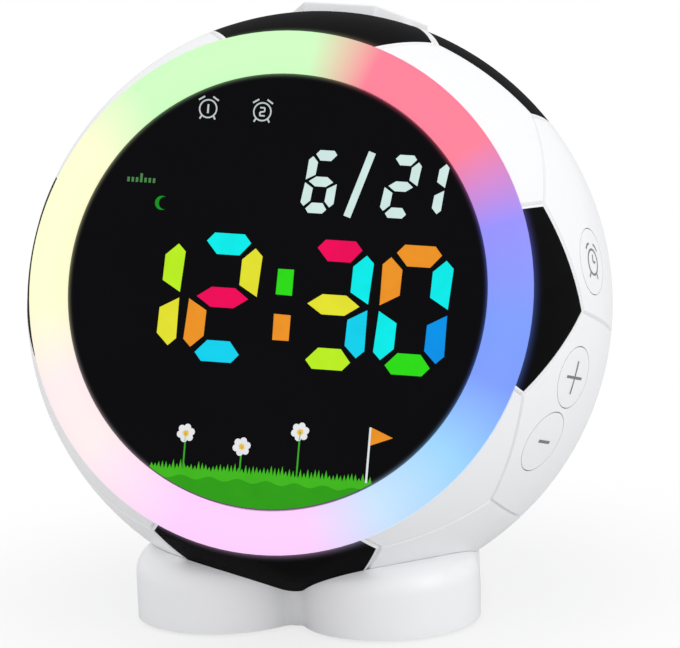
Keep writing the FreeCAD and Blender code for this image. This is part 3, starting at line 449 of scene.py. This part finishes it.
# Date: smaller pale light cells above the time, two numbers with a stroke between them.
# They lean a little more than the time digits do.
PALE = (211, 235, 231)
DATE_SCALE = (0.47, 0.49)
DATE_HEIGHT = 23.6
DATE_SLANT = 0.06
SMALL_SIX = ("top", "upper_left", "middle", "lower_left", "lower_right", "bottom")
SMALL_TWO = ("top", "upper_right", "middle", "lower_left", "bottom")
SMALL_ONE = ("upper_right", "lower_right")
date = Drawing()
draw_digit(date, 8.0, DATE_HEIGHT, dict.fromkeys(SMALL_SIX, PALE), DATE_SCALE, DATE_SLANT)
date.line([(14.2, 16.6), (18.6, 30.4)], 1.6, PALE)
draw_digit(date, 25.4, DATE_HEIGHT, dict.fromkeys(SMALL_TWO, PALE), DATE_SCALE, DATE_SLANT)
draw_digit(date, 31.4, DATE_HEIGHT, dict.fromkeys(SMALL_ONE, PALE), DATE_SCALE, DATE_SLANT)
date.piece("date_digits", on_lens, lit, "clock", "led")


# Two small alarm signs at the display's top: outlined clocks with bells and feet, numbered one and two.
# They light up grey, as cells of the display.
SIGN_GREY = (196, 204, 204)
SIGN_HEIGHT = 37.6
SIGN_RADIUS = 1.9
alarms = Drawing()
for number, x in ((1, -18.2), (2, -6.2)):
    z = SIGN_HEIGHT
    alarms.line(circle(x, z, SIGN_RADIUS), 0.32, SIGN_GREY, closed=True)
    for side in (1, -1):
        alarms.line([(x + side * 0.9, z + 2.6), (x + side * 2.2, z + 1.8)], 0.36, SIGN_GREY)
        alarms.line([(x + side * 1.3, z - 1.5), (x + side * 1.7, z - 2.2)], 0.36, SIGN_GREY)
    if number == 1:
        alarms.line([(x, z + 0.95), (x, z - 0.95)], 0.4, SIGN_GREY)
    else:
        path = [(x - 0.55, z + 0.85), (x + 0.5, z + 0.85), (x + 0.5, z + 0.05), (x - 0.5, z - 0.1),
                (x - 0.5, z - 0.85), (x + 0.6, z - 0.85)]
        alarms.line(path, 0.32, SIGN_GREY)
alarms.piece("alarm_signs", on_lens, lit, "clock", "led")


# Left of the date: a row of seven green marks for the days of the week, with the present day's taller,
# and under it a moon for the evening hours.
DIM_GREEN = (75, 133, 75)
LEAF_GREEN = (19, 147, 28)
DAYS = 7
PRESENT_DAY = 3
DAYS_LEFT = -34.8
DAYS_FOOT = 21.2
DAY_STEP = 0.95
DAY_WIDTH = 0.55
marks = Drawing()
for day in range(DAYS):
    height = 1.9 if day == PRESENT_DAY else 1.0
    x = DAYS_LEFT + day * DAY_STEP
    marks.polygon([(x, DAYS_FOOT), (x + DAY_WIDTH, DAYS_FOOT), (x + DAY_WIDTH, DAYS_FOOT + height),
                   (x, DAYS_FOOT + height)], DIM_GREEN)
outer = circle(-26.7, 17.1, 1.5, 16, math.radians(60), math.radians(300))
inner = circle(-26.0, 17.1, 1.35, 16, math.radians(285), math.radians(75))
marks.polygon(outer + inner, LEAF_GREEN)
marks.piece("day_marks", on_lens, lit, "clock", "led")


# Along the display's foot: a lit strip of grass with blades of uneven height, lighter above than below.
# It ends where the round lens ends.
random.seed(7)
GRASS_HEIGHT = -38.6
GRASS_LEFT = -24.4
BLADE_STEP = 0.4
BLADE_COUNT = 122
LENS_REACH = 45.7
SHADE_DEPTH = 1.6
LIGHT_GRASS = (66, 184, 30)
DARK_GRASS = (48, 158, 22)
grass = Drawing()
tops = []
for index in range(BLADE_COUNT + 1):
    x = GRASS_LEFT + index * BLADE_STEP
    blade = random.uniform(0.8, 2.2) if index % 2 else random.uniform(-0.2, 0.3)
    tops.append((x, GRASS_HEIGHT + blade))
for (ax, az), (bx, bz) in zip(tops, tops[1:]):
    low_a = -math.sqrt(LENS_REACH ** 2 - ax ** 2)
    low_b = -math.sqrt(LENS_REACH ** 2 - bx ** 2)
    middle_a = max(GRASS_HEIGHT - SHADE_DEPTH + 0.4 * math.sin(ax), low_a)
    middle_b = max(GRASS_HEIGHT - SHADE_DEPTH + 0.4 * math.sin(bx), low_b)
    grass.polygon([(ax, middle_a), (bx, middle_b), (bx, bz), (ax, az)], LIGHT_GRASS)
    if middle_a > low_a and middle_b > low_b:
        grass.polygon([(ax, low_a), (bx, low_b), (bx, middle_b), (ax, middle_a)], DARK_GRASS)
grass.piece("grass_strip", on_lens, lit, "clock", "led")


# Three daisies and a corner flag stand in the grass, a hair in front of it.
# Each daisy has six white petals round a yellow middle, on a green stem.
PETALS = 6
PETAL_OUT = 1.25
PETAL_RADIUS = 0.78
PETAL_WHITE = (232, 234, 236)
flowers = Drawing()
for x, z in ((-17.0, -31.0), (-4.5, -33.0), (8.0, -29.0)):
    flowers.line([(x, GRASS_HEIGHT), (x, z)], 0.35, (60, 170, 40))
    for petal in range(PETALS):
        angle = math.radians(360 / PETALS * petal + 15)
        aside, above = PETAL_OUT * math.cos(angle), PETAL_OUT * math.sin(angle)
        flowers.disc(x + aside, z + above, PETAL_RADIUS, PETAL_WHITE, 10)
    flowers.disc(x, z, 0.75, (238, 190, 60), 12)
flowers.line([(23.2, GRASS_HEIGHT), (23.2, -27.0)], 0.45, (226, 230, 232))
flowers.polygon([(23.4, -27.0), (28.2, -28.9), (23.4, -30.8)], ORANGE)
flowers.piece("daisies_and_flag", lambda x, z: on_ball(x, -LENS_FRONT - 0.02, z), lit, "clock", "led")


# Signs on the side caps, printed in grey on their domed crests. The right caps carry a small alarm clock,
# a plus and a minus, and the left caps a clock face, a sun and a note.
CAP_GREY = (112, 114, 118)
SIGN_LINE = 0.5
PRINT_HEIGHT = 0.03


def cap_surface(azimuth, height):
    """Where a flat drawing lies on the ball: x to the right and y upwards, seen from outside."""
    a, h = math.radians(azimuth), math.radians(height)
    out = Vector((math.sin(a) * math.cos(h), -math.cos(a) * math.cos(h), math.sin(h)))
    across = Vector((math.cos(a), math.sin(a), 0))
    upward = out.cross(across)

    def surface(x, y):
        point = out * BALL_RADIUS + across * x + upward * y
        return on_ball(*(point.normalized() * (BALL_RADIUS + PRINT_HEIGHT)))
    return surface


printed, print_colour = tinted("printed_signs", 0.4)
printed.node_tree.links.new(print_colour, printed.node_tree.nodes["Principled BSDF"].inputs["Base Color"])
alarm = Drawing()
alarm.line(circle(0, 0, 2.7, 28), SIGN_LINE, CAP_GREY, closed=True)
alarm.line([(0, 1.6), (0, 0), (1.3, 0)], SIGN_LINE, CAP_GREY)
for side in (1, -1):
    alarm.line([(side * 1.2, 3.9), (side * 2.2, 3.6), (side * 3.2, 2.6)], SIGN_LINE, CAP_GREY)
    alarm.line([(side * 1.7, -2.3), (side * 2.4, -3.4)], SIGN_LINE, CAP_GREY)
plus = Drawing()
plus.line([(-3.6, 0), (-1.8, 0), (0, 0), (1.8, 0), (3.6, 0)], SIGN_LINE + 0.1, CAP_GREY)
plus.line([(0, -3.6), (0, -1.8), (0, 1.8), (0, 3.6)], SIGN_LINE + 0.1, CAP_GREY)
minus = Drawing()
minus.line([(-2.4, 0), (-1.2, 0), (0, 0), (1.2, 0), (2.4, 0)], SIGN_LINE + 0.2, CAP_GREY)
mode = Drawing()
mode.line(circle(0, 0, 3.0, 28), SIGN_LINE, CAP_GREY, closed=True)
mode.line([(0, 1.9), (0, 0), (1.4, -0.9)], SIGN_LINE, CAP_GREY)
sun = Drawing()
sun.line(circle(0, 0, 1.7, 20), SIGN_LINE, CAP_GREY, closed=True)
for ray in range(8):
    angle = math.radians(45 * ray)
    sun.line([(2.5 * math.cos(angle), 2.5 * math.sin(angle)), (3.6 * math.cos(angle), 3.6 * math.sin(angle))],
             SIGN_LINE, CAP_GREY)
note = Drawing()
note.disc(-0.9, -2.1, 1.1, CAP_GREY)
note.line([(0.1, -2.0), (0.1, 2.6), (2.1, 1.6)], SIGN_LINE, CAP_GREY)
KEY_SIGNS = (("alarm_key", alarm, 83.4, 11.2), ("plus_key", plus, 79.1, -11.6),
             ("minus_key", minus, 76.6, -25.0), ("mode_key", mode, -83.4, 11.2),
             ("light_key", sun, -79.1, -11.6), ("sound_key", note, -76.6, -25.0))
for key, drawing, azimuth, height in KEY_SIGNS:
    drawing.piece(key + "_sign", cap_surface(azimuth, height), printed, key, "key_white")


# Floor: pale all round, lit near the foot so that its soft shadow shows, and plain white further out.
# SHADOW_REACH is where the plain white sets in and where it is full, in metres from the clock.
FLOOR_SIZE = 6.0
FLOOR_PALE = (0.72, 0.72, 0.725, 1)
SHADOW_REACH = (0.04, 0.12)
NEAR_WHITE = 0.74
floor_mesh = bpy.data.meshes.new("floor")
half = FLOOR_SIZE / 2
floor_mesh.from_pydata([(-half, -half, 0), (half, -half, 0), (half, half, 0), (-half, half, 0)], [],
                       [(0, 1, 2, 3)])
floor = bpy.data.objects.new("floor", floor_mesh)
scene.collection.objects.link(floor)
floor_material = bpy.data.materials.new("floor_white")
floor_material.use_nodes = True
tree = floor_material.node_tree
tree.nodes.clear()
coordinate = add(tree, "ShaderNodeTexCoord")
distance = add(tree, "ShaderNodeVectorMath", {0: coordinate.outputs["Object"]}, operation="LENGTH")
fade = add(tree, "ShaderNodeMapRange", {"Value": distance.outputs["Value"], "From Min": SHADOW_REACH[0],
                                        "From Max": SHADOW_REACH[1], "To Min": NEAR_WHITE, "To Max": 1.0},
           interpolation_type="SMOOTHSTEP")
paper = add(tree, "ShaderNodeBsdfDiffuse", {"Color": FLOOR_PALE})
shine = add(tree, "ShaderNodeEmission", {"Color": (1, 1, 1, 1), "Strength": 1.0})
seen = add(tree, "ShaderNodeLightPath")
far = maths(tree, "MULTIPLY", fade.outputs[0], seen.outputs["Is Camera Ray"])
mixed = add(tree, "ShaderNodeMixShader", {0: far, 1: paper.outputs[0], 2: shine.outputs[0]})
add(tree, "ShaderNodeOutputMaterial", {"Surface": mixed.outputs[0]})
floor_mesh.materials.append(floor_material)


# World: white behind the clock, and a softer white round it that lights it from every side,
# a little stronger from above.
LOW_LIGHT = 0.82
HIGH_LIGHT = 1.0
world = bpy.data.worlds.new("studio")
scene.world = world
world.use_nodes = True
tree = world.node_tree
tree.nodes.clear()
seen = add(tree, "ShaderNodeLightPath")
coordinate = add(tree, "ShaderNodeTexCoord")
direction = add(tree, "ShaderNodeSeparateXYZ", {0: coordinate.outputs["Generated"]})
lift = add(tree, "ShaderNodeMapRange", {"Value": direction.outputs["Z"], "From Min": -0.5, "From Max": 0.5,
                                        "To Min": LOW_LIGHT, "To Max": HIGH_LIGHT})
ambient = add(tree, "ShaderNodeBackground", {"Color": (1, 1, 1, 1), "Strength": lift.outputs[0]})
behind = add(tree, "ShaderNodeBackground", {"Color": (1, 1, 1, 1), "Strength": 1.0})
mixed = add(tree, "ShaderNodeMixShader", {0: seen.outputs["Is Camera Ray"], 1: ambient.outputs[0],
                                          2: behind.outputs[0]})
add(tree, "ShaderNodeOutputWorld", {"Surface": mixed.outputs[0]})


# Lights: a broad soft light from the right and above, a weak fill from the left,
# and one from behind for the crown.
def soft_light(name, place, aim, width, depth, power):
    """A rectangular light that faces a point of the clock."""
    light = bpy.data.objects.new(name, bpy.data.lights.new(name, "AREA"))
    light.data.shape = "RECTANGLE"
    light.data.size = width
    light.data.size_y = depth
    light.data.energy = power
    light.location = place
    light.rotation_euler = (Vector(aim) - Vector(place)).to_track_quat("-Z", "Y").to_euler()
    scene.collection.objects.link(light)


soft_light("key_light", (1.0, -0.35, 0.5), (0, 0, 0.08), width=0.7, depth=0.7, power=2.4)
soft_light("fill_light", (-0.8, -0.6, 0.45), (0, 0, 0.06), width=0.6, depth=0.6, power=0.25)
soft_light("crown_light", (0.1, 0.6, 0.8), (0, 0, 0.08), width=0.8, depth=0.4, power=0.15)
